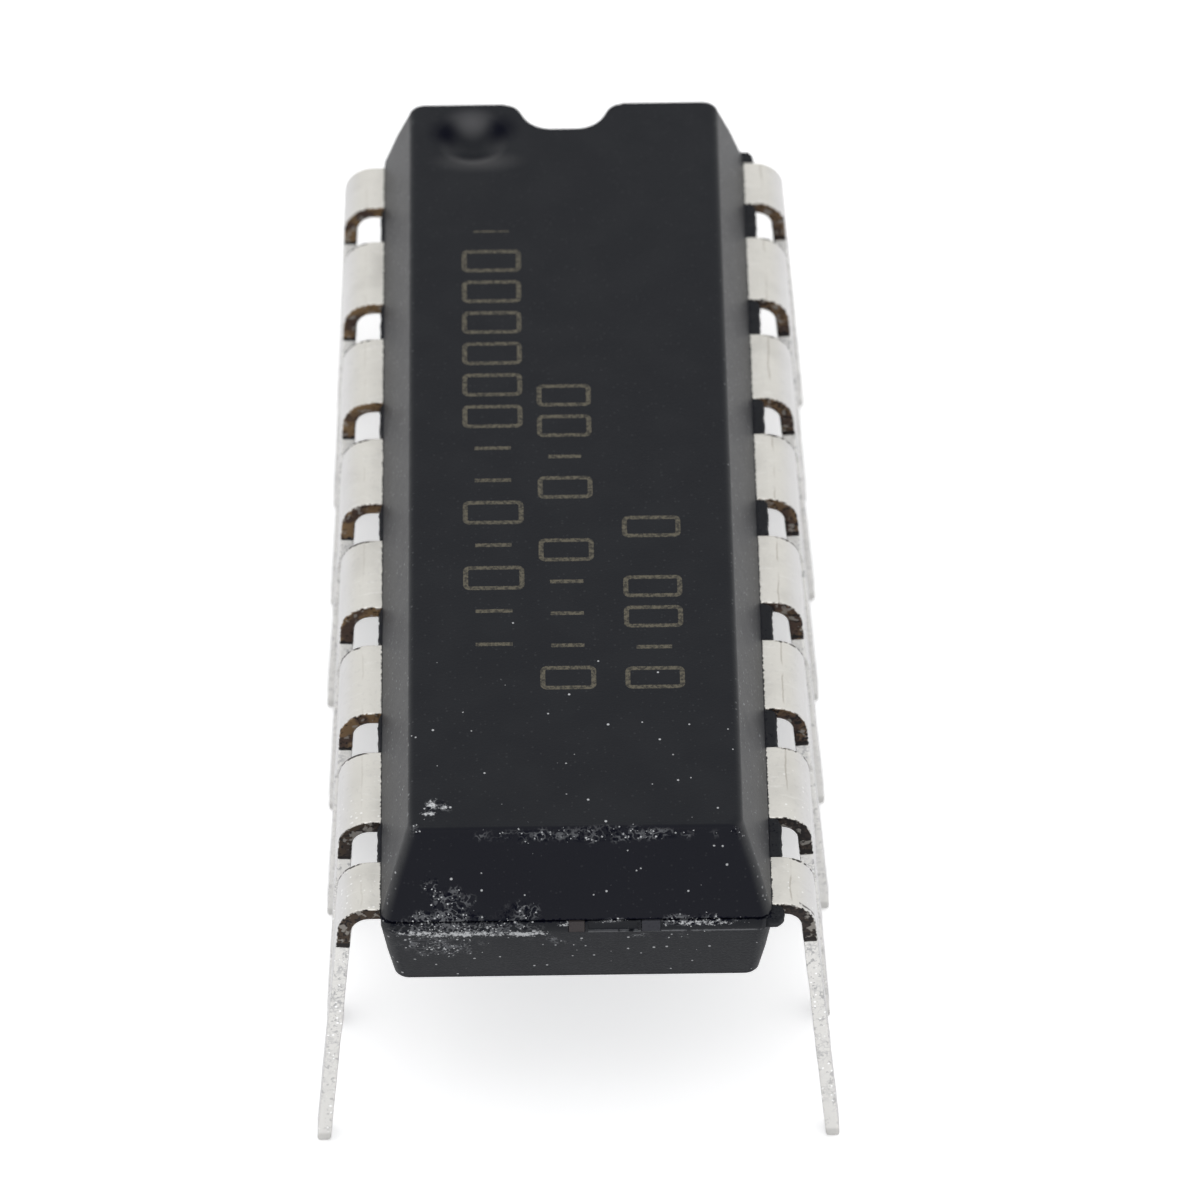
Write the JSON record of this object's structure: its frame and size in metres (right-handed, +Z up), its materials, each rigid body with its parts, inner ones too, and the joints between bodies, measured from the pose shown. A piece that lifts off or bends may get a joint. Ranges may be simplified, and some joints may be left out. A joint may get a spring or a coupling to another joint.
{
  "type": "dip integrated circuit chip",
  "caption": "Black moulded dual in-line integrated circuit with a notched end, a dished index mark and a row of bent tinned leads along each side",
  "frame": {"origin": "Middle of the footprint, on the plane of the lead tips that the part stands on", "axes": "+Z up through the marked face, +Y along the body towards the notched end, +X towards the row of leads 9 to 16, so that lead 1 is at the notch on the -X side"},
  "size_m": [0.009, 0.019, 0.0075],
  "materials": {
    "moulding_compound": "matte black epoxy with fine filler grain",
    "tinned_lead": "dull tin plate over copper alloy, bare brown copper where the dam bars were cut",
    "copper_alloy": "bare copper alloy sheet",
    "die_attach": "silver-filled adhesive",
    "silicon": "polished silicon",
    "bond_wire": "bright drawn gold wire"
  },
  "bodies": {
    "root": {"package_body": "moulding_compound", "die_paddle": "copper_alloy", "die_attach": "die_attach", "silicon_die": "silicon", "lead_01": "tinned_lead", "lead_02": "tinned_lead", "lead_03": "tinned_lead", "lead_04": "tinned_lead", "lead_05": "tinned_lead", "lead_06": "tinned_lead", "lead_07": "tinned_lead", "lead_08": "tinned_lead", "lead_09": "tinned_lead", "lead_10": "tinned_lead", "lead_11": "tinned_lead", "lead_12": "tinned_lead", "lead_13": "tinned_lead", "lead_14": "tinned_lead", "lead_15": "tinned_lead", "lead_16": "tinned_lead", "bond_wire_01": "bond_wire", "bond_wire_02": "bond_wire", "bond_wire_03": "bond_wire", "bond_wire_04": "bond_wire", "bond_wire_05": "bond_wire", "bond_wire_06": "bond_wire", "bond_wire_07": "bond_wire", "bond_wire_08": "bond_wire", "bond_wire_09": "bond_wire", "bond_wire_10": "bond_wire", "bond_wire_11": "bond_wire", "bond_wire_12": "bond_wire", "bond_wire_13": "bond_wire", "bond_wire_14": "bond_wire", "bond_wire_15": "bond_wire", "bond_wire_16": "bond_wire"}
  },
  "joints": []
}
